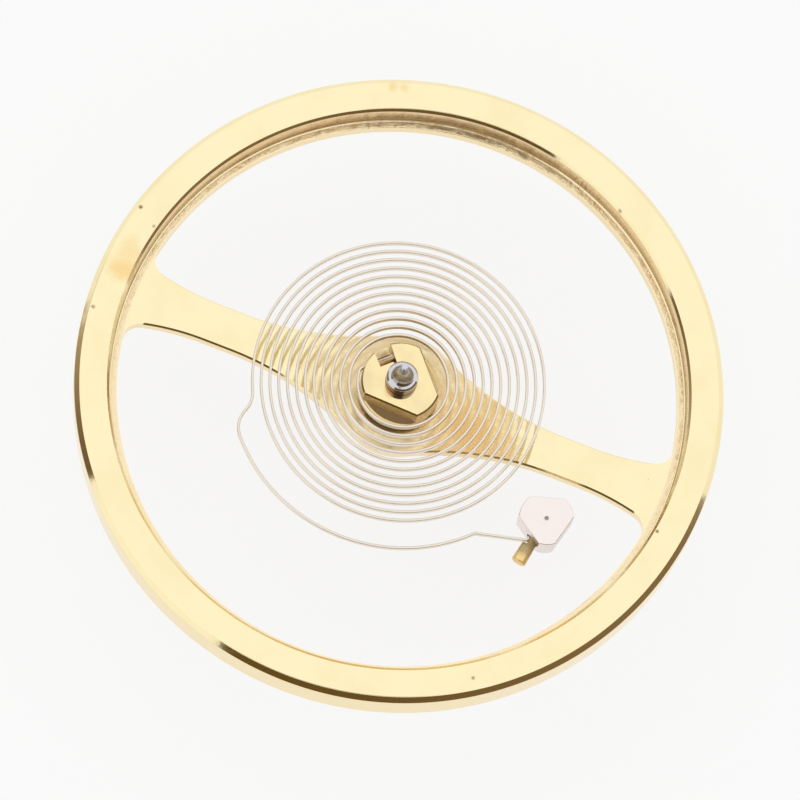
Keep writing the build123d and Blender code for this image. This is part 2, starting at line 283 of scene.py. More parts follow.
def dark_wall(name, first, last, distance, height, first_colour, last_colour):
    """An upright wall on an arc round the part, whose glow changes from end to end."""
    bpy.ops.mesh.primitive_cylinder_add(
        vertices=144, radius=distance * MM, depth=height * MM, end_fill_type="NOTHING",
        location=(0, 0, height / 2 * MM),
    )
    wall = bpy.context.object
    wall.name = name
    work_in("EDIT")
    for turn, side in ((first, 90), (last, -90)):
        pick_all()
        bpy.ops.mesh.bisect(
            plane_co=(0, 0, 0), plane_no=from_near(turn + side), clear_inner=True, threshold=1e-7
        )
    work_in("OBJECT")
    tree, glow = reflected_only(wall, first_colour)
    start = from_near(first) * distance * MM
    across = from_near(last) * distance * MM - start
    where = add_node(tree, "ShaderNodeTexCoord").outputs["Object"]
    along = vector(tree, "DOT_PRODUCT", where, across.normalized())["Value"]
    start_at = start.dot(across.normalized())
    share = ramp(tree, along, start_at, start_at + across.length)
    fill(tree, glow.inputs["Color"], mix_colour(tree, share, first_colour, last_colour))


dark_wall("right_wall", -25.5, 100, 80, 42, (0.12, 0.075, 0.025), (0.22, 0.15, 0.09))
dark_wall("left_wall", -115, -71, 45, 24, (0.46, 0.37, 0.27), (0.15, 0.10, 0.06))

lens_radius = 26
lens_distance = 105
lens_drop = Vector((0, 0, 0.22))
bpy.ops.mesh.primitive_circle_add(vertices=64, radius=lens_radius * MM, fill_type="NGON")
lens = bpy.context.object
lens.name = "dark_lens"
stand_facing(lens, (to_camera - lens_drop).normalized() * lens_distance * MM)
reflected_only(lens, (0.195, 0.146, 0.12))
print("two dark walls and a dark lens")

# %% [markdown]
# ## Ways of working
#
# Everything is shaped in millimetres, with one unit for a millimetre, and brought down to real
# metres at the end, because Blender's merging and bevel tools are tuned to sizes near one.
# Outlines are drawn like a draughtsman's: a pencil point is moved by straight runs and by
# compass arcs, which are Blender's vertex extrude and spin.

# %% Helpers for drawing and turning
MERGE = 1e-4
Z_AXIS = (0, 0, 1)
Y_AXIS = (0, 1, 0)


def polar(distance, turn):
    """A point in plan, from its distance and its direction in degrees."""
    return Vector((distance * cos(radians(turn)), distance * sin(radians(turn)), 0))


def start_outline(name, point):
    """A new mesh of a single vertex, left in edit mode with that vertex selected."""
    bpy.ops.mesh.primitive_plane_add(size=1)
    piece = bpy.context.object
    piece.name = name
    work_in("EDIT")
    bpy.ops.mesh.select_mode(type="VERT")
    bpy.ops.mesh.merge(type="CENTER")
    bpy.ops.transform.translate(value=point)
    return piece


def line_to(point):
    """Draw a straight run from the selected vertex."""
    mesh = bmesh.from_edit_mesh(bpy.context.object.data)
    here = next(vertex.co for vertex in mesh.verts if vertex.select)
    bpy.ops.mesh.extrude_vertices_move(
        TRANSFORM_OT_translate={"value": Vector(point) - here}
    )


def swing(centre, angle, steps, axis=Z_AXIS):
    """Draw an arc from the selected vertex; the spin tool counts its angle the other way."""
    bpy.ops.mesh.spin(
        steps=steps, angle=-radians(angle), center=centre, axis=axis, use_auto_merge=False
    )


def pick(kind, test):
    """Select only the vertices, edges or faces that pass a test."""
    bpy.ops.mesh.select_all(action="DESELECT")
    bpy.ops.mesh.select_mode(type=kind)
    mesh = bmesh.from_edit_mesh(bpy.context.object.data)
    items = {"VERT": mesh.verts, "EDGE": mesh.edges, "FACE": mesh.faces}[kind]
    for item in items:
        if test(item):
            item.select_set(True)
    mesh.select_flush_mode()
    bmesh.update_edit_mesh(bpy.context.object.data)


def weld():
    """Select everything and join the points that meet."""
    pick_all()
    bpy.ops.mesh.remove_doubles(threshold=MERGE)


def face_outwards():
    """Turn every face of a closed shell outwards."""
    pick_all()
    bpy.ops.mesh.normals_make_consistent(inside=False)


def slice_off(point, way):
    """Cut the mesh at a plane, close the cut, and drop what lies beyond it."""
    pick_all()
    bpy.ops.mesh.bisect(
        plane_co=point, plane_no=way, use_fill=True, clear_outer=True, threshold=MERGE
    )


def draw_up(height):
    """Extrude what is selected straight up."""
    bpy.ops.mesh.extrude_region_move(TRANSFORM_OT_translate={"value": (0, 0, height)})


def turn_on_lathe(steps):
    """Spin the whole outline once round the staff's axis, and close its seam."""
    pick_all()
    bpy.ops.mesh.spin(
        steps=steps, angle=2 * pi, center=(0, 0, 0), axis=Z_AXIS, use_auto_merge=False
    )
    weld()
    face_outwards()
    work_in("OBJECT")


def turn_ring(name, corners, steps, easing=0):
    """Draw a ring's section by radius and level, ease its corners, and turn it."""
    ring = start_outline(name, (corners[0][0], 0, corners[0][1]))
    for radius, level in (*corners[1:], corners[0]):
        line_to((radius, 0, level))
    weld()
    if easing:
        bpy.ops.mesh.bevel(offset=easing, segments=2, affect="VERTICES")
    turn_on_lathe(steps)
    return ring


def select_only(piece):
    """Make a piece the one that the tools act on."""
    bpy.ops.object.select_all(action="DESELECT")
    bpy.context.view_layer.objects.active = piece
    piece.select_set(True)


def settle(name):
    """Name the object just made."""
    piece = bpy.context.object
    piece.name = name
    bpy.ops.object.transform_apply(location=True, rotation=True, scale=True)
    return piece


def use_modifier(piece, kind, **settings):
    """Add a modifier with its settings and apply it."""
    select_only(piece)
    modifier = piece.modifiers.new(kind.lower(), kind)
    for name, value in settings.items():
        setattr(modifier, name, value)
    bpy.ops.object.modifier_apply(modifier=modifier.name)


def combine(piece, tool, operation="DIFFERENCE"):
    """Cut a tool out of a piece, or join it on, and throw the tool away."""
    use_modifier(piece, "BOOLEAN", operation=operation, solver="EXACT", object=tool)
    bpy.data.objects.remove(tool)


def ease_edges(piece, width, segments=2, angle=35):
    """Take the sharpness off the edges, as tumbling and polishing do."""
    use_modifier(
        piece, "BEVEL", width=width, segments=segments, limit_method="ANGLE",
        angle_limit=radians(angle), miter_outer="MITER_ARC", use_clamp_overlap=True,
    )


def finish_piece(piece, body, slot, *nodes):
    """Smooth the shading, bring millimetres down to metres, and hang the piece on its body."""
    select_only(piece)
    bpy.ops.object.transform_apply(location=True, rotation=True, scale=True)
    bpy.ops.object.shade_smooth_by_angle(angle=radians(28))
    if body:
        use_modifier(
            piece, "WEIGHTED_NORMAL", mode="FACE_AREA", weight=100, keep_sharp=True, thresh=1e-4
        )
    bpy.ops.transform.resize(value=(MM, MM, MM), center_override=(0, 0, 0))
    bpy.ops.object.transform_apply(location=True, rotation=True, scale=True)
    piece.data.name = piece.name
    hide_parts(*nodes)
    if body:
        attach(piece, body)
    triangles = sum(len(face.vertices) - 2 for face in piece.data.polygons)
    print(piece.name, "triangles", triangles)


def box(low, high):
    """A cutting block between two corners."""
    middle = (Vector(low) + Vector(high)) / 2
    bpy.ops.mesh.primitive_cube_add(size=1, location=middle, scale=Vector(high) - Vector(low))
    return settle("block")


def rod(name, radius, low, high, middle=(0, 0), vertices=96):
    """An upright rod between two levels."""
    bpy.ops.mesh.primitive_cylinder_add(
        vertices=vertices, radius=radius, depth=high - low,
        location=(middle[0], middle[1], (low + high) / 2),
    )
    return settle(name)


def place(piece, matrix):
    """Move a piece from the origin to its place."""
    piece.data.transform(matrix)
    piece.data.update()


print("helpers ready")

# %% [markdown]
# ## The wheel
#
# A balance is turned and stamped from one piece of brass or beryllium bronze, and then gilt.
# The rim carries nearly all of the weight. A thin web near its lower face leaves a narrow
# ledge inside the rim, two arms with a waist, and a round hub.
#
# The rim is a section turned on the lathe. The web could be cut from a disc with tools, but
# its edge is all arcs that run smoothly into each other, so the outline of one opening is
# drawn with the compass, mirrored to the other three quarters, filled in and given its
# thickness.

# %% Sizes of the wheel
wheel_radius = 5.0
rim_height = 0.8
rim_width = 0.543
rim_bevel = 0.083
rim_lower_bevel = 0.11
rim_inner_bevel = 0.045
ledge_fillet = 0.035
fillet_foot = 0.06  # how deep the fillet reaches down into the web
section_easing = 0.008  # the small roundings of a turned section
rim_top = rim_bottom + rim_height
web_bottom = 1.30
web_top = 1.50
ledge_width = 0.125
hub_radius = 0.96
hub_seat_radius = 0.304
arm_waist_half_width = 0.32
arm_end_half_width = 0.53
arm_corner_radius = 0.26
arm_bevel = 0.026
rim_bore_radius = wheel_radius - rim_width
ledge_radius = rim_bore_radius - ledge_width
waist_start = 0.612 * ledge_radius
waist_end = 0.716 * ledge_radius
arm_end = ledge_radius + 0.5 * ledge_width

# %% Rim
rim = turn_ring(
    "wheel",
    (
        (rim_bore_radius, rim_bottom),
        (wheel_radius - rim_lower_bevel, rim_bottom),
        (wheel_radius, rim_bottom + rim_lower_bevel),
        (wheel_radius, rim_top - rim_bevel),
        (wheel_radius - rim_bevel, rim_top),
        (rim_bore_radius + rim_inner_bevel, rim_top),
        (rim_bore_radius, rim_top - rim_inner_bevel),
        (rim_bore_radius, web_top + ledge_fillet),
        (rim_bore_radius - ledge_fillet, web_top),
        (rim_bore_radius - ledge_fillet, web_top - fillet_foot),
        (rim_bore_radius, web_top - fillet_foot),
    ),
    steps=384, easing=section_easing,
)
print("rim section turned into", len(rim.data.polygons), "faces")

# %% One opening of the web, drawn with the compass
flank_radius = (waist_start**2 + arm_waist_half_width**2 - hub_radius**2) / (
    2 * (hub_radius - arm_waist_half_width)
)
flank_centre = Vector((waist_start, arm_waist_half_width + flank_radius, 0))
flare_rise = arm_end_half_width - arm_waist_half_width
flare_radius = ((arm_end - waist_end) ** 2 + flare_rise**2) / (2 * flare_rise)
flare_centre = Vector((waist_end, arm_waist_half_width + flare_radius, 0))


def crossing(first_centre, first_radius, second_centre, second_radius):
    """Where two circles cross, on the right as seen from the first towards the second."""
    across = second_centre - first_centre
    along = (first_radius**2 - second_radius**2 + across.length_squared) / (2 * across.length)
    aside = sqrt(first_radius**2 - along**2)
    way = across.normalized()
    return first_centre + way * along + Vector((way.y, -way.x, 0)) * aside


def swing_between(centre, start, end, steps):
    """Draw an arc of less than half a turn from one point to another."""
    first = start - centre
    second = end - centre
    angle = atan2(first.x * second.y - first.y * second.x, first.dot(second))
    swing(centre, degrees(angle), steps)


middle = Vector((0, 0, 0))
corner_centre = crossing(
    middle, ledge_radius - arm_corner_radius, flare_centre, flare_radius - arm_corner_radius
)
hub_start = Vector((0, hub_radius, 0))
hub_end = flank_centre * (hub_radius / flank_centre.length)
waist_in = Vector((waist_start, arm_waist_half_width, 0))
waist_out = Vector((waist_end, arm_waist_half_width, 0))
flare_end = flare_centre + (corner_centre - flare_centre).normalized() * flare_radius
ledge_start = corner_centre.normalized() * ledge_radius
ledge_end = Vector((0, ledge_radius, 0))

web = start_outline("web", hub_start)
swing_between(middle, hub_start, hub_end, 28)
swing_between(flank_centre, hub_end, waist_in, 36)
line_to(waist_out)
swing_between(flare_centre, waist_out, flare_end, 20)
swing_between(corner_centre, flare_end, ledge_start, 18)
swing_between(middle, ledge_start, ledge_end, 96)
for scale in ((-1, 1, 1), (1, -1, 1)):
    pick_all()
    bpy.ops.mesh.duplicate()
    bpy.ops.transform.resize(value=scale, center_override=(0, 0, 0))
bpy.ops.mesh.primitive_circle_add(vertices=384, radius=rim_bore_radius + rim_width / 2)
bpy.ops.mesh.primitive_circle_add(vertices=128, radius=hub_seat_radius)
weld()
bpy.ops.mesh.fill(use_beauty=True)
pick_all()
bpy.ops.mesh.dissolve_limited(angle_limit=radians(0.1))
pick_all()
bpy.ops.transform.translate(value=(0, 0, web_bottom))
draw_up(web_top - web_bottom)
face_outwards()


def on_arm(edge):
    """An upper edge of the hub or of an arm, until just past the end of the arm's flare."""
    for point in (vertex.co for vertex in edge.verts):
        inside = abs(point.x) < flare_end.x + 0.02 and abs(point.y) < hub_radius + MERGE
        if not inside or abs(point.z - web_top) > MERGE or point.xy.length < 0.9 * hub_radius:
            return False
    return min(face.normal.z for face in edge.link_faces) < 0.5


pick("EDGE", on_arm)
bpy.ops.mesh.bevel(offset=arm_bevel, segments=1, affect="EDGES")
work_in("OBJECT")
combine(rim, web, "UNION")
finish_piece(rim, "balance", "gilt_wheel", "balance_wheel")

# %% [markdown]
# ## The staff
#
# The staff is turned from hard steel. Its ends are pivots thinner than a hair, and each grows
# out of a trumpet-shaped cone, so that it doesn't break. The shoulder above the collet shows
# in the photograph as a bright ring round the dark cone. A lathe piece is drawn as half of its
# section, and then spun.

# %% Staff
pivot_radius = 0.055
pivot_length = 0.18
pivot_round = 0.02
lower_cone_radius = 0.14
lower_cone_top = 0.34
roller_seat_radius = 0.215
flange_bottom = 1.10
flange_radius = 0.46
flange_edge = 0.012
rivet_seat_radius = 0.30
rivet_foot_radius = 0.35
rivet_crown_radius = 0.335
rivet_crown_rise = 0.028
rivet_top = 1.55
collet_seat_radius = 0.243
shoulder_level = 2.45
shoulder_bevel = 0.03
upper_cone_radius = 0.18
upper_cone_top = 2.76
staff_top = 2.94


def cone_centre(reach, rise):
    """How far a trumpet arc's centre lies from the staff's wall, for its reach and its rise."""
    return (reach**2 + rise**2) / (2 * reach)


lower_arc = cone_centre(lower_cone_radius - pivot_radius, lower_cone_top - pivot_length)
upper_arc = cone_centre(upper_cone_radius - pivot_radius, upper_cone_top - shoulder_level)
lower_sweep = degrees(asin((lower_cone_top - pivot_length) / lower_arc))
upper_sweep = degrees(asin((upper_cone_top - shoulder_level) / upper_arc))

staff = start_outline("staff", (0, 0, 0))
line_to((pivot_radius - pivot_round, 0, 0))
swing((pivot_radius - pivot_round, 0, pivot_round), -90, 5, Y_AXIS)
line_to((pivot_radius, 0, pivot_length))
swing((pivot_radius + lower_arc, 0, pivot_length), lower_sweep, 14, Y_AXIS)
for radius, level in (
    (roller_seat_radius, lower_cone_top),
    (roller_seat_radius, flange_bottom),
    (flange_radius - flange_edge, flange_bottom),
    (flange_radius, flange_bottom + flange_edge),
    (flange_radius, web_bottom),
    (rivet_seat_radius, web_bottom),
    (rivet_seat_radius, web_top),
    (rivet_foot_radius, web_top),
    (rivet_crown_radius, web_top + rivet_crown_rise),
    (rivet_seat_radius, rivet_top),
    (collet_seat_radius, rivet_top),
    (collet_seat_radius, shoulder_level - shoulder_bevel),
    (collet_seat_radius - shoulder_bevel, shoulder_level),
    (upper_cone_radius, shoulder_level),
):
    line_to((radius, 0, level))
swing((pivot_radius + upper_arc, 0, upper_cone_top), upper_sweep, 20, Y_AXIS)
line_to((pivot_radius, 0, staff_top - pivot_round))
swing((pivot_radius - pivot_round, 0, staff_top - pivot_round), -90, 5, Y_AXIS)
line_to((0, 0, staff_top))
turn_on_lathe(steps=128)
ease_edges(staff, 0.005)
finish_piece(staff, "balance", "polished_steel", "balance_staff")

# %% [markdown]
# ## The double roller and its jewel
#
# Below the hub, out of sight in the photograph, the staff carries a double roller: a table
# that holds the ruby impulse jewel, and a smaller safety roller with a hollow for the guard
# pin to pass. It is turned like the staff, and the hollow and the jewel's D-shaped hole are
# then cut with tools of their own shape.

# %% Roller and jewel
table_radius = 0.75
table_bottom = 0.92
roller_bottom = 0.46
safety_top = 0.60
safety_radius = 0.35
neck_radius = 0.29
jewel_distance = 0.58
jewel_radius = 0.11
jewel_flat = 0.05
jewel_bottom = 0.61
hollow_radius = 0.12
hollow_distance = safety_radius + 0.06
press_gap = 0.004  # left between a piece and the one pressed into it
overrun = 0.1  # how far a cutting tool passes the face it comes out of
roller_bore = roller_seat_radius + press_gap

roller = turn_ring(
    "roller",
    (
        (roller_bore, roller_bottom),
        (safety_radius, roller_bottom),
        (safety_radius, safety_top),
        (neck_radius, safety_top),
        (neck_radius, table_bottom),
        (table_radius, table_bottom),
        (table_radius, flange_bottom),
        (roller_bore, flange_bottom),
    ),
    steps=160, easing=section_easing,
)


def d_rod(name, room, low, high):
    """A rod with one flat, facing away from the staff."""
    piece = rod(name, jewel_radius + room, low, high, (0, jewel_distance), 64)
    work_in("EDIT")
    slice_off((0, jewel_distance + jewel_flat + room, 0), Y_AXIS)
    work_in("OBJECT")
    return piece


hollow = rod(
    "hollow", hollow_radius, roller_bottom - overrun, safety_top, (0, hollow_distance)
)
combine(roller, hollow)
combine(roller, d_rod("jewel_hole", press_gap, table_bottom - overrun, flange_bottom + overrun))
finish_piece(roller, "balance", "gilt_roller", "double_roller")

jewel = d_rod("jewel", 0, jewel_bottom, flange_bottom)
ease_edges(jewel, 0.01, segments=3)
finish_piece(jewel, "balance", "ruby", "impulse_jewel")

# %% [markdown]
# ## The collet
#
# The collet is a slit brass ring, pressed on the staff, that holds the spring's inner end. Two
# flats are milled part of the way down its side, a hole is drilled along a chord at the
# spring's level, and a window by the slit shows the pin in it. It starts as a turned ring,
# and each of these cuts is a block or rod taken away in the order of the workshop.

# %% Collet
collet_radius = 0.615
collet_bottom = 1.69
collet_top = 2.21
collet_bevel = 0.025
collet_bore = collet_seat_radius + press_gap
collet_flats = ((0.43, -92), (0.4625, 41))  # distance from the staff, and direction
shelf_level = collet_top - 0.32
shelf_slope = 20
slit_width = 0.05
spring_level = 2.05
strip_thickness = 0.04
strip_height = 0.10
pin_gap = 0.005
inner_bend = 51.5
inner_bend_radius = 0.094
coil_clearance = 0.026
innermost_radius = collet_radius + coil_clearance + strip_thickness / 2
coil_start_turn = 185
leg_heading = coil_start_turn + 90 - inner_bend
chord_turn = leg_heading - 90
slit_turn = chord_turn - 4.5
inner_strip_distance = innermost_radius * cos(radians(inner_bend)) + inner_bend_radius * (
    1 - cos(radians(inner_bend))
)
collet_pin_flat = 0.002
collet_strip_offset = collet_pin_flat + pin_gap + strip_thickness / 2
chord_distance = inner_strip_distance - collet_strip_offset
window_low = Vector((chord_distance - 0.10, -0.035, spring_level))
window_high = Vector((chord_distance + 0.4, 0.215, collet_top + overrun))


def hole_radius(strip_offset, room):
    """What a hole needs for the strip at an offset from its middle, with some room."""
    return hypot(strip_height / 2, strip_offset + strip_thickness / 2) + room


def hole_frame(spot, across, along):
    """The place of a hole above a spot in plan: across it, upwards, and along it."""
    axes = Matrix((across, along.cross(across), along)).transposed().to_4x4()
    return Matrix.Translation(spot + Vector((0, 0, spring_level))) @ axes


def cut_block(piece, low, high, turn, lean=0, point=(0, 0, 0)):
    """Cut a block out of a piece: it leans, is moved to a point, and turned about the staff."""
    block = box(low, high)
    place(block, Matrix.Rotation(radians(lean), 4, "Y"))
    place(block, Matrix.Rotation(radians(turn), 4, "Z") @ Matrix.Translation(point))
    combine(piece, block)


chord_hole_radius = hole_radius(collet_strip_offset, room=0.002)
chord_place = hole_frame(
    polar(chord_distance, chord_turn), polar(1, chord_turn), polar(1, leg_heading)
)
collet = turn_ring(
    "collet_ring",
    (
        (collet_bore, collet_bottom),
        (collet_radius - collet_bevel, collet_bottom),
        (collet_radius, collet_bottom + collet_bevel),
        (collet_radius, collet_top - collet_bevel),
        (collet_radius - collet_bevel, collet_top),
        (collet_bore, collet_top),
    ),
    steps=192,
)
cut_reach = 0.8  # past the ring on either side of a flat
for distance, turn in collet_flats:
    flat_foot = (distance, 0, shelf_level)
    flat_head = (distance - collet_bevel / 2, 0, collet_top - collet_bevel / 2)
    flat_low = (distance, -cut_reach, shelf_level)
    cut_block(collet, flat_low, (1.2, cut_reach, collet_top + 0.2), turn)
    cut_block(collet, (0, -cut_reach, 0), (1, cut_reach, 1), turn, shelf_slope, flat_foot)
    cut_block(collet, (-0.3, -cut_reach, 0), (0.3, cut_reach, 0.3), turn, 45, flat_head)
slit_low = (0, -slit_width / 2, collet_bottom - overrun)
slit_high = (0.9, slit_width / 2, collet_top + overrun)
cut_block(collet, slit_low, slit_high, slit_turn)
cut_block(collet, window_low, window_high, chord_turn)
chord_hole = rod("chord_hole", chord_hole_radius, -0.9, 0.9, vertices=48)
place(chord_hole, chord_place)
combine(collet, chord_hole)
finish_piece(collet, "balance", "gilt_collet", "collet")

# %% [markdown]
# ## The two taper pins
#
# A taper pin wedges each end of the spring in its hole. It is a slow cone with a flat filed
# along the side where the strip lies. Both pins are made upright at the middle of the world
# and then laid in their holes with the same kind of matrix that drilled them.

# %% Collet pin and stud pin


def taper_pin(name, low, low_radius, high, high_radius, flat, flat_end, round_edge):
    """A cone along Z, filed flat on its +X side from its low end up to flat_end."""
    bpy.ops.mesh.primitive_cone_add(
        vertices=72, radius1=low_radius, radius2=high_radius, depth=high - low,
        location=(0, 0, (low + high) / 2),
    )
    pin = settle(name)
    work_in("EDIT")
    pick("EDGE", lambda edge: all(vertex.co.z > high - MERGE for vertex in edge.verts))
    bpy.ops.mesh.bevel(offset=round_edge, segments=5, affect="EDGES")
    work_in("OBJECT")
    combine(pin, box((flat, -1, low - 1), (1, 1, flat_end)))
    return pin


chord_pin_radius = chord_hole_radius - pin_gap
chord_pin_recess = 0.03
chord_pin_taper = 0.004
chord_pin_reach = sqrt(collet_radius**2 - chord_distance**2) - chord_pin_recess
collet_pin = taper_pin(
    "collet_taper_pin", -chord_pin_reach, chord_pin_radius, chord_pin_reach,
    chord_pin_radius - chord_pin_taper, collet_pin_flat, chord_pin_reach + 1, round_edge=0.008,
)
place(collet_pin, chord_place)
ease_edges(collet_pin, 0.004)
finish_piece(collet_pin, "balance", "brass_pin", "collet_pin")

coil_pitch = 0.1347
coil_turns = 12
coil_end_radius = innermost_radius + coil_turns * coil_pitch
terminal_step = 0.343
terminal_radius = coil_end_radius + terminal_step
stud_step = 0.477
stud_turn = -23.85
stud_centre = polar(terminal_radius + stud_step, stud_turn)
stud_flat_distance = 0.33
stud_flat_turns = (108, -14, -124)
stud_hole_turn = -100
stud_hole_offset = 0.035
hole_out = polar(1, stud_hole_turn)
hole_left = polar(1, stud_hole_turn - 90)
stud_pin_flat = 0.03
stud_strip_offset = stud_pin_flat + pin_gap + strip_thickness / 2
stud_hole_radius = hole_radius(stud_strip_offset, room=0.015)
mouth_lean = radians(stud_hole_turn - stud_flat_turns[2])
stud_bend_radius = 0.05
stud_leg_margin = 0.03
stud_pin_taper = 0.04  # gained in radius for each millimetre
stud_pin_reach = 0.41
stud_pin_recess = 0.02
stud_hole_place = hole_frame(stud_centre + hole_left * stud_hole_offset, hole_left, hole_out)


def mouth_distance(side):
    """How far out along the hole the stud's face lies, at some distance to the left."""
    return (stud_flat_distance - side * sin(mouth_lean)) / cos(mouth_lean)


stud_leg_side = stud_hole_offset + stud_strip_offset
stud_leg_out = mouth_distance(stud_leg_side) + stud_leg_margin
pin_mouth = mouth_distance(stud_hole_offset)
pin_tip = pin_mouth + stud_pin_reach
pin_root = stud_pin_recess - stud_flat_distance
pin_mouth_radius = stud_hole_radius - pin_gap
pin_root_radius = pin_mouth_radius + stud_pin_taper * (pin_root - pin_mouth)
pin_tip_radius = pin_mouth_radius + stud_pin_taper * (pin_tip - pin_mouth)
pin_flat_end = stud_leg_out + stud_bend_radius + strip_thickness + pin_gap
stud_pin = taper_pin(
    "stud_taper_pin", pin_root, pin_root_radius, pin_tip, pin_tip_radius, stud_pin_flat,
    pin_flat_end, round_edge=0.03,
)
place(stud_pin, stud_hole_place)
ease_edges(stud_pin, 0.006)
finish_piece(stud_pin, "stud_end", "brass_pin", "stud_pin")

# %% [markdown]
# ## The stud
#
# The stud is a short steel rod that the balance cock clamps, with three flats to keep it from
# turning. Bisect with filling takes each flat off in one cut. A centre punch has marked the
# middle of its polished top.

# %% Stud
stud_bottom = 1.84
stud_top = 2.34
stud_radius = 0.42
stud_bevel = 0.008
punch_radius = 0.035
punch_length = 0.06
punch_sink = 0.02
stud = rod("stud_block", stud_radius, stud_bottom, stud_top, stud_centre, 160)
work_in("EDIT")
pick("FACE", lambda face: abs(face.normal.z) > 0.99)
bpy.ops.mesh.region_to_loop()
bpy.ops.mesh.bevel(offset=stud_bevel, segments=1, affect="EDGES")
for turn in stud_flat_turns:
    for slope, level in ((0, stud_bottom), (1, stud_top), (-1, stud_bottom)):
        to_flat = polar(stud_flat_distance - abs(slope) * stud_bevel, turn)
        slice_off(
            stud_centre + to_flat + Vector((0, 0, level)),
            polar(1, turn) + Vector((0, 0, slope)),
        )
work_in("OBJECT")
stud_hole = rod("stud_hole", stud_hole_radius, -1, 1, vertices=64)
place(stud_hole, stud_hole_place)
combine(stud, stud_hole)
bpy.ops.mesh.primitive_cone_add(
    vertices=32, radius1=0, radius2=punch_radius, depth=punch_length,
    location=stud_centre + Vector((0, 0, stud_top - punch_sink)),
)
combine(stud, settle("punch"))
ease_edges(stud, 0.006)
finish_piece(stud, "stud_end", "stud_steel", "stud")

# %% [markdown]
# ## The hairspring
#
# The hairspring is one steel strip, 0.04 mm thick and 0.1 mm high, rolled into twelve turns.
# Its outer end steps out through a knee to a wider arc, and bends into the stud. A curve with
# a bevel could follow that line, but the path is drawn here with the compass like the rest:
# then the path is raised to the strip's height and thickened with Solidify, which keeps the
# section true in every bend.

# %% Path of the spring
knee_radius = 0.42
kink_turn = -44
kink_radius = 0.06
last_turn = 20
inner_leg_length = 0.62
coil_step = 3  # degrees of a wide bend between two vertices
widest_tight_bend = 0.3
tight_bend_steps = 14
leg_share = 0.8  # of the stud's width that the leg passes through
still_run = 0.2  # the last part of the terminal arc, which stays still


def corner_between(first, second, opposite):
    """The angle in degrees between two sides of a triangle."""
    return degrees(acos((first**2 + second**2 - opposite**2) / (2 * first * second)))


coil_start = polar(innermost_radius, coil_start_turn)
bend_centre = coil_start + polar(inner_bend_radius, coil_start_turn + 180)
bend_start = bend_centre + polar(inner_bend_radius, leg_heading - 90)
inner_end = bend_start - polar(inner_leg_length, leg_heading)

coil_end_turn = coil_start_turn + last_turn
knee_in = coil_end_radius + knee_radius
knee_out = terminal_radius - knee_radius
knee_turn = corner_between(knee_in, 2 * knee_radius, knee_out)
knee_swing = corner_between(knee_in, knee_out, 2 * knee_radius)
terminal_sweep = kink_turn + 360 - coil_end_turn - knee_swing
kink_centre = polar(terminal_radius + kink_radius, kink_turn)
stud_leg_start = stud_centre + hole_out * stud_leg_out + hole_left * stud_leg_side
stud_bend_centre = stud_leg_start + hole_left * stud_bend_radius
link = stud_bend_centre - kink_centre
link_heading = degrees(
    atan2(link.y, link.x) - asin((kink_radius + stud_bend_radius) / link.length)
)
link_length = sqrt(link.length**2 - (kink_radius + stud_bend_radius) ** 2)
stud_leg_length = stud_leg_margin + leg_share * 2 * stud_flat_distance
stud_leg_heading = stud_hole_turn + 180

moves = [("run", inner_leg_length, 0), ("bend", inner_bend_radius, inner_bend)]
moves += [
    ("bend", innermost_radius + (half_turn + 0.5) * coil_pitch / 2, 180)
    for half_turn in range(2 * coil_turns)
]
moves += [
    ("bend", coil_end_radius, last_turn),
    ("bend", knee_radius, -knee_turn),
    ("bend", knee_radius, knee_turn + knee_swing),
    ("bend", terminal_radius, terminal_sweep),
    ("bend", kink_radius, link_heading - kink_turn - 90),
    ("run", link_length, 0),
    ("bend", stud_bend_radius, stud_leg_heading - link_heading),
    ("run", stud_leg_length, 0),
]

strip_bottom = spring_level - strip_height / 2
spot = inner_end + Vector((0, 0, strip_bottom))
heading = leg_heading
along = 0.0
route = [(spot, along)]
spring = start_outline("spring_strip", spot)
for kind, size, angle in moves:
    if kind == "run":
        spot = spot + polar(size, heading)
        along += size
        line_to(spot)
        route.append((spot, along))
    else:
        side = 90 if angle > 0 else -90
        centre = spot + polar(size, heading + side)
        wide_steps = max(4, ceil(abs(angle) / coil_step))
        steps = wide_steps if size > widest_tight_bend else tight_bend_steps
        swing(centre, angle, steps)
        for step in range(1, steps + 1):
            spot = centre + polar(size, heading - side + angle * step / steps)
            route.append((spot, along + size * radians(abs(angle)) * step / steps))
        along = route[-1][1]
        heading += angle
print("spring path", round(along, 2), "mm long, with", len(route), "points")

# %% Strip of the spring
weld()
draw_up(strip_height)
work_in("OBJECT")
use_modifier(
    spring, "SOLIDIFY", thickness=strip_thickness, offset=0, use_even_offset=True,
    use_quality_normals=True,
)
work_in("EDIT")
face_outwards()
work_in("OBJECT")
ease_edges(spring, 0.006, segments=1, angle=60)
finish_piece(spring, None, "spring_steel", "hairspring")

# %% [markdown]
# ## How the spring moves
#
# When the wheel swings, the inner end turns with the collet and the outer end stays in the
# stud. Between them the turn is shared out evenly along the strip's length.

# %% Spring's weights
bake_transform(spring, "stud_end", "balance", start=(0, 0, 0), end=(0, 0, 1))
tree = kdtree.KDTree(len(route))
for index, (point, distance) in enumerate(route):
    tree.insert(point, index)
tree.balance()
turning_from = inner_leg_length + inner_bend_radius * radians(inner_bend)
still_from = along - stud_leg_length - link_length - still_run
weights = spring.data.attributes["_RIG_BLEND"]
for vertex, weight in zip(spring.data.vertices, weights.data):
    level_point = Vector((vertex.co.x / MM, vertex.co.y / MM, strip_bottom))
    distance = route[tree.find(level_point)[1]][1]
    share = (distance - turning_from) / (still_from - turning_from)
    weight.value = 1 - min(max(share, 0), 1)
print("weights from", turning_from, "to", still_from, "mm along the strip")
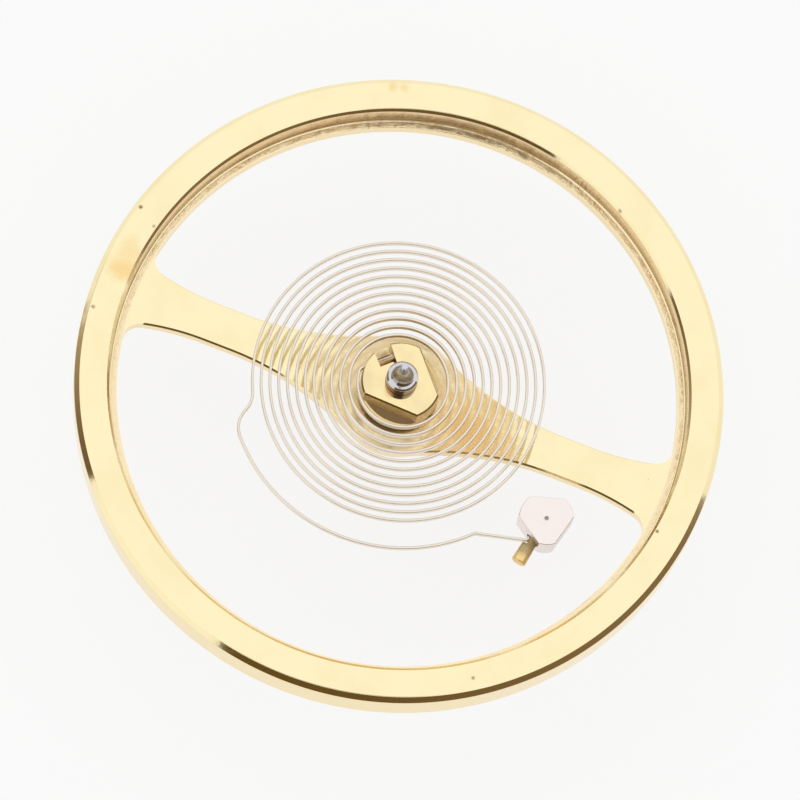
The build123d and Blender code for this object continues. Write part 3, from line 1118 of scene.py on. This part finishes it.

# %% [markdown]
# ## Metals
#
# Polished metal has little colour of its own: the tint comes from the metal, and the pattern
# from what it mirrors. What tells it from a computer picture are its faults: hair-fine
# scratches, a slight waviness, specks of dirt, and stains where the gilding has aged. The
# same ragged patch also lays painted shade and painted reflections about places. Each
# fault is a node group of its own, which puts out only a number, so that every metal can use
# it in its own strength.

# %% Shared effects


def plus_share(tree, value, mask, share, clamp=False):
    """A value, and a share of a mask on top of it."""
    return number(tree, "ADD", value, number(tree, "MULTIPLY", mask, share), clamp=clamp)


def shared_effect(name, ins, outs):
    """A node group with named sockets, what it is asked, and what it has to be given."""
    group = bpy.data.node_groups.new(name, "ShaderNodeTree")
    for label, kind, value in ins:
        socket = group.interface.new_socket(label, in_out="INPUT", socket_type=kind)
        if value is not None:
            socket.default_value = value
    for label in outs:
        group.interface.new_socket(label, in_out="OUTPUT", socket_type="NodeSocketFloat")
    asked = group.nodes.new("NodeGroupInput").outputs
    return group, asked, group.nodes.new("NodeGroupOutput").inputs


PLACE = ("Place", "NodeSocketVector", None)


def clouds(tree, place, scale, detail, roughness=0.5):
    """Soft noise about a place."""
    return add_node(
        tree, "ShaderNodeTexNoise", Vector=place, Scale=scale, Detail=detail, Roughness=roughness
    ).outputs[0]


hairlines, asked, given = shared_effect("hairline scratches", [PLACE], ["Height", "Mask"])
hair = []
for turn, stretch in ((18, 26), (-57, 20), (74, 30)):
    laid = add_node(
        hairlines, "ShaderNodeMapping", Vector=asked["Place"],
        Rotation=(0, 0, radians(turn)), Scale=(0.7, stretch, 1),
    )
    hair.append(ramp(hairlines, clouds(hairlines, laid.outputs[0], 1.0, 2.0, 0.6), 0.66, 0.74))
all_hair = number(hairlines, "ADD", number(hairlines, "ADD", hair[0], hair[1]), hair[2], True)
fill(hairlines, given["Mask"], all_hair)
fill(hairlines, given["Height"], number(hairlines, "MULTIPLY", all_hair, -1.0))

waves, asked, given = shared_effect("polishing waves", [PLACE], ["Height"])
slow = clouds(waves, asked["Place"], 1.4, 3.0, 0.55)
quick = clouds(waves, asked["Place"], 9.0, 2.0)
fill(waves, given["Height"], plus_share(waves, slow, quick, 0.12))

specks, asked, given = shared_effect(
    "specks of dirt", [PLACE, ("Share", "NodeSocketFloat", 0.1)], ["Mask"]
)
cells = add_node(
    specks, "ShaderNodeTexVoronoi", Vector=asked["Place"], Scale=3.2, Randomness=1.0
).outputs
chance = add_node(specks, "ShaderNodeSeparateColor", Color=cells["Color"]).outputs
rare = number(specks, "LESS_THAN", chance[0], asked["Share"])
size_of = number(specks, "MULTIPLY", chance[1], 0.08)
near = ramp(specks, number(specks, "SUBTRACT", size_of, cells["Distance"]), 0.0, 0.04)
fill(specks, given["Mask"], number(specks, "MULTIPLY", rare, near))

# A ragged patch about a place: it lays real stains, and also painted shade and painted reflections.
stain_and_shade_patch, asked, given = shared_effect(
    "stained and painted shade patch about a place",
    [PLACE, ("Middle", "NodeSocketVector", None), ("Reach", "NodeSocketFloat", 0.5)],
    ["Mask"],
)
apart = vector(stain_and_shade_patch, "DISTANCE", asked["Place"], asked["Middle"])["Value"]
fall = number(stain_and_shade_patch, "SUBTRACT", -0.05, number(stain_and_shade_patch, "DIVIDE", apart, asked["Reach"]))
ragged = plus_share(stain_and_shade_patch, fall, clouds(stain_and_shade_patch, asked["Place"], 4.0, 5.0, 0.65), 1.3)
fill(stain_and_shade_patch, given["Mask"], ramp(stain_and_shade_patch, ragged, -0.3, 0.5))
print("effects", hairlines.name, waves.name, specks.name, stain_and_shade_patch.name, sep=", ")

# %% [markdown]
# ## Gilding and steel
#
# Two functions make all the metals. Each starts from the same bare material, lays stains and
# painted shade on its tint, and bends the light a little with the waves and scratches. The gilt
# paints its walls browner than its tops as painted shade and painted reflection, and the steel
# paints stretches of its height darker as painted shade and painted reflection.

# %% What both metals use


def use_effect(tree, group, place_mm, **values):
    """Put a shared effect in a material and give back what comes out."""
    return add_node(
        tree, "ShaderNodeGroup", node_tree=group, Place=place_mm, **values
    ).outputs


def new_metal(name):
    """A material with its place in millimetres and how far its surface faces up."""
    material, tree = new_material(name)
    where = add_node(tree, "ShaderNodeTexCoord").outputs
    in_mm = add_node(
        tree, "ShaderNodeVectorMath", operation="SCALE", Vector=where["Object"], Scale=1 / MM
    )
    facing = add_node(tree, "ShaderNodeSeparateXYZ", Vector=where["Normal"])
    metal = add_node(tree, "ShaderNodeBsdfPrincipled", Metallic=1.0)
    add_node(tree, "ShaderNodeOutputMaterial", Surface=metal.outputs[0])
    return material, tree, metal, in_mm.outputs[0], facing.outputs["Z"]


def finish_metal(tree, metal, tint, rough, *heights):
    """Give a metal its tint, its roughness, and its heights with their depths in micrometres."""
    normal = None
    for height, depth in heights:
        normal = add_node(
            tree, "ShaderNodeBump", Strength=1.0, Distance=depth * 1e-6, Height=height,
            Normal=normal,
        ).outputs[0]
    for name, value in (("Base Color", tint), ("Roughness", rough), ("Normal", normal)):
        fill(tree, metal.inputs[name], value)


def between(tree, value, rise, fall):
    """One from a rise to a fall of a value, and nothing beyond them."""
    return number(tree, "SUBTRACT", ramp(tree, value, *rise), ramp(tree, value, *fall))


def level_of(tree, place_mm):
    """How high a place lies."""
    return add_node(tree, "ShaderNodeSeparateXYZ", Vector=place_mm).outputs["Z"]


def lay_stains_and_painted_shade(tree, place_mm, tint, spots):
    """Lay stained, painted-shade and painted-reflection patches on a tint about places, and give back also
    where they lie.
    """
    stain_and_shade_mask = None
    for middle, reach, colour in spots:
        mask = use_effect(tree, stain_and_shade_patch, place_mm, Middle=middle, Reach=reach)["Mask"]
        tint = mix_colour(tree, mask, tint, colour)
        stain_and_shade_mask = mask if stain_and_shade_mask is None else number(tree, "MAXIMUM", stain_and_shade_mask, mask)
    return tint, stain_and_shade_mask


print("helpers for metals ready")

# %% Gilt


def leave_turned_and_shade_bore(tree, place_mm, flat, tint, rough, inner, outer):
    """Leave the ledge between two radii as turned, and paint shade on the bore that rises from it, darker
    towards the ledge.
    """
    radius = vector(tree, "LENGTH", vector(tree, "MULTIPLY", place_mm, (1, 1, 0))[0])["Value"]
    ring = between(tree, radius, (inner - 0.02, inner + 0.02), (outer - 0.03, outer - 0.01))
    # painted shade and painted reflection: the bore wall above the ledge is darkened, darkest low down by
    # the ledge
    bore = between(tree, radius, (outer - 0.02, outer - 0.005), (outer + 0.003, outer + 0.02))
    bore = number(tree, "MULTIPLY", bore, ramp(tree, flat, 0, 0.5, 1.0, 0.0))
    higher = ramp(tree, level_of(tree, place_mm), web_top + 0.12, web_top + 0.30)
    shade = mix_colour(tree, higher, (0.44, 0.31, 0.19), (0.80, 0.64, 0.42))
    tint = mix_colour(tree, bore, tint, shade)
    tint = mix_colour(tree, number(tree, "MULTIPLY", ring, 0.5), tint, (1.0, 0.79, 0.54))
    rough = plus_share(tree, rough, ring, 0.22)
    lumps = clouds(tree, place_mm, 5.0, 3.0, 0.6)
    return tint, rough, number(tree, "MULTIPLY", lumps, ring)


def gilt(name, top_tint, painted_wall_shade, top_rough, wall_rough, spots=(), turned=None):
    """Gilt brass with a pale top, walls in a browner painted shade and painted reflection, stained and
    painted-shade patches, and, where asked, a ledge left as turned with painted shade on the bore above it.
    """
    material, tree, metal, place_mm, up = new_metal(name)
    wave = use_effect(tree, waves, place_mm)["Height"]
    dirt = use_effect(tree, specks, place_mm, Share=0.04)["Mask"]
    scratch = use_effect(tree, hairlines, place_mm)
    flat = ramp(tree, number(tree, "ABSOLUTE", up), 0.30, 0.97)
    # painted shade and painted reflection: the walls get a browner tint than the tops, by how far the
    # surface faces up
    tint = mix_colour(tree, flat, painted_wall_shade, top_tint)
    tint = mix_colour(tree, ramp(tree, wave, 0.45, 0.75, 0.0, 0.3), tint, painted_wall_shade)
    tint, stain_and_shade_mask = lay_stains_and_painted_shade(tree, place_mm, tint, spots)
    tint = mix_colour(tree, dirt, tint, (0.42, 0.32, 0.22))
    rough = ramp(tree, flat, 0, 1, wall_rough, top_rough)
    rough = plus_share(tree, rough, scratch["Mask"], 0.05)
    if stain_and_shade_mask is not None:
        rough = plus_share(tree, rough, stain_and_shade_mask, 0.20)
        fill(tree, metal.inputs["Metallic"], ramp(tree, stain_and_shade_mask, 0, 1, 1.0, 0.85))
    rough = plus_share(tree, rough, dirt, 0.3, clamp=True)
    heights = [(wave, 3.0), (scratch["Height"], 0.02)]
    if turned:
        tint, rough, lumps = leave_turned_and_shade_bore(tree, place_mm, flat, tint, rough, *turned)
        heights.append((lumps, 20.0))
    finish_metal(tree, metal, tint, rough, *heights)
    return material


wheel_gilt = gilt(
    "wheel_gilt", (1.0, 0.896, 0.565), (0.95, 0.77, 0.42), 0.07, 0.14,
    spots=(
        ((0.0, 0.0, web_top), 2.2, (1.0, 0.80, 0.50)),
        ((1.25, -0.20, web_top), 1.25, (1.0, 0.69, 0.30)),
        ((-4.60, 0.16, rim_top), 0.42, (1.0, 0.73, 0.34)),
        ((-4.66, 0.45, rim_top), 0.36, (1.0, 0.80, 0.44)),
        ((-1.83, 4.50, rim_top), 0.14, (1.0, 0.76, 0.40)),
        ((-1.66, 4.56, rim_top), 0.12, (1.0, 0.78, 0.42)),
        ((-4.74, 1.18, rim_top), 0.05, (0.34, 0.20, 0.10)),
        ((-4.44, 0.97, rim_top), 0.05, (0.50, 0.34, 0.18)),
        ((-4.83, -0.59, rim_top), 0.06, (0.50, 0.34, 0.18)),
        ((4.40, 0.04, rim_top), 0.05, (0.34, 0.22, 0.12)),
        ((4.48, -0.70, rim_top), 0.05, (0.34, 0.22, 0.12)),
        ((2.16, 3.92, rim_top), 0.06, (0.42, 0.34, 0.16)),
        ((2.67, -3.91, rim_top), 0.05, (0.52, 0.36, 0.20)),
    ),
    turned=(ledge_radius, rim_bore_radius),
)
window_middle = chord_place @ Vector((0.06, 0.04, 0.09))
painted_reflection_by_staff = Vector((-0.09, -0.20, collet_top))
collet_gilt = gilt(
    "collet_gilt", (1.0, 0.83, 0.46), (0.60, 0.50, 0.36), 0.06, 0.16,
    spots=(
        # painted shade: darker brown in the window round the pin
        (window_middle, 0.20, (0.45, 0.30, 0.15)),
        # painted reflection: an orange patch on the collet top by the staff's foot
        (painted_reflection_by_staff, 0.17, (0.95, 0.58, 0.26)),
    ),
)
roller_gilt = gilt("roller_gilt", (0.98, 0.78, 0.42), (0.85, 0.62, 0.30), 0.12, 0.2)
stud_mouth = stud_hole_place @ Vector((0, 0, pin_mouth))
pin_brass = gilt(
    "pin_brass", (0.95, 0.72, 0.34), (0.92, 0.66, 0.28), 0.38, 0.42,
    spots=(
        # painted shade: the pin darker where it enters the stud's hole
        (stud_mouth, 0.42, (0.42, 0.34, 0.18)),
        # painted shade: the pin darker in the collet's window
        (window_middle, 0.25, (0.42, 0.28, 0.13)),
    ),
)
print("gilt", wheel_gilt.name, collet_gilt.name, roller_gilt.name, pin_brass.name, sep=", ")

# %% Steel


def steel(name, tint, rough, side_rough, wave_depth, worn, spots=(), painted_bands=()):
    """Polished steel with a few scratches, darker patches about places, and stretches of its height in
    painted shade and painted reflection.
    """
    material, tree, metal, place_mm, up = new_metal(name)
    scratch = use_effect(tree, hairlines, place_mm)
    wave = use_effect(tree, waves, place_mm)["Height"]
    lines = number(tree, "MULTIPLY", scratch["Mask"], worn)
    shade = mix_colour(tree, lines, tint, [0.8 * part for part in tint])
    for low, high, colour in painted_bands:
        painted_band = between(tree, level_of(tree, place_mm), (low, low + 0.02), (high - 0.02, high))
        shade = mix_colour(tree, painted_band, shade, colour)
    shade = lay_stains_and_painted_shade(tree, place_mm, shade, spots)[0]
    flat = ramp(tree, number(tree, "ABSOLUTE", up), 0.80, 0.97)
    dull = plus_share(tree, ramp(tree, flat, 0, 1, side_rough, rough), lines, 0.08)
    heights = ((wave, wave_depth), (scratch["Height"], 0.04 * worn))
    finish_metal(tree, metal, shade, dull, *heights)
    return material


upper_cone_foot = shoulder_level + 0.005
staff_steel = steel(
    "staff_steel", (0.66, 0.66, 0.69), 0.08, 0.14, 1.0, worn=0.2,
    painted_bands=(
        # painted reflection: the upper cone greyed darker, for the dark that its hollow curve mirrors
        (upper_cone_foot, upper_cone_top + 0.02, (0.45, 0.41, 0.36)),
        # painted shade: the seat between the collet and the shoulder darkened to dark brown
        (rivet_top, shoulder_level - shoulder_bevel, (0.15, 0.08, 0.05)),
    ),
)
spring_steel = steel(
    "spring_grey", (0.86, 0.78, 0.665), 0.24, 0.30, 0.5, worn=0.1,
    # painted shade: the strip darker in the collet's window
    spots=((window_middle, 0.30, (0.50, 0.36, 0.22)),),
)
punch_mark = stud_centre + Vector((0, 0, stud_top - 0.01))
stud_steel = steel(
    "stud_pale", (0.94, 0.86, 0.82), 0.16, 0.4, 1.0, worn=0.1,
    # darker in and round the punch mark
    spots=((punch_mark, 0.07, (0.16, 0.14, 0.13)),),
)
print("steel", staff_steel.name, spring_steel.name, stud_steel.name, sep=", ")

# %% [markdown]
# ## Ruby, and the dressing
#
# The jewel is clear, and a faint cloud varies its red. Then each piece gets its finish.

# %% Ruby
ruby, ruby_tree = new_material("ruby_red")
ruby_where = add_node(ruby_tree, "ShaderNodeTexCoord").outputs["Object"]
ruby_cloud = clouds(ruby_tree, ruby_where, 6 / MM, 2.0)
ruby_glass = add_node(
    ruby_tree, "ShaderNodeBsdfPrincipled", Roughness=0.04, IOR=1.76, Transmission_Weight=1.0,
    Base_Color=mix_colour(ruby_tree, ruby_cloud, (0.62, 0.01, 0.06), (0.80, 0.03, 0.12)),
)
add_node(ruby_tree, "ShaderNodeOutputMaterial", Surface=ruby_glass.outputs[0])
print("ruby", ruby.name)

# %% Dress the pieces
for piece, material in (
    (rim, wheel_gilt),
    (staff, staff_steel),
    (roller, roller_gilt),
    (jewel, ruby),
    (collet, collet_gilt),
    (collet_pin, pin_brass),
    (spring, spring_steel),
    (stud, stud_steel),
    (stud_pin, pin_brass),
):
    piece.data.materials.clear()
    piece.data.materials.append(material)
print("nine pieces dressed")
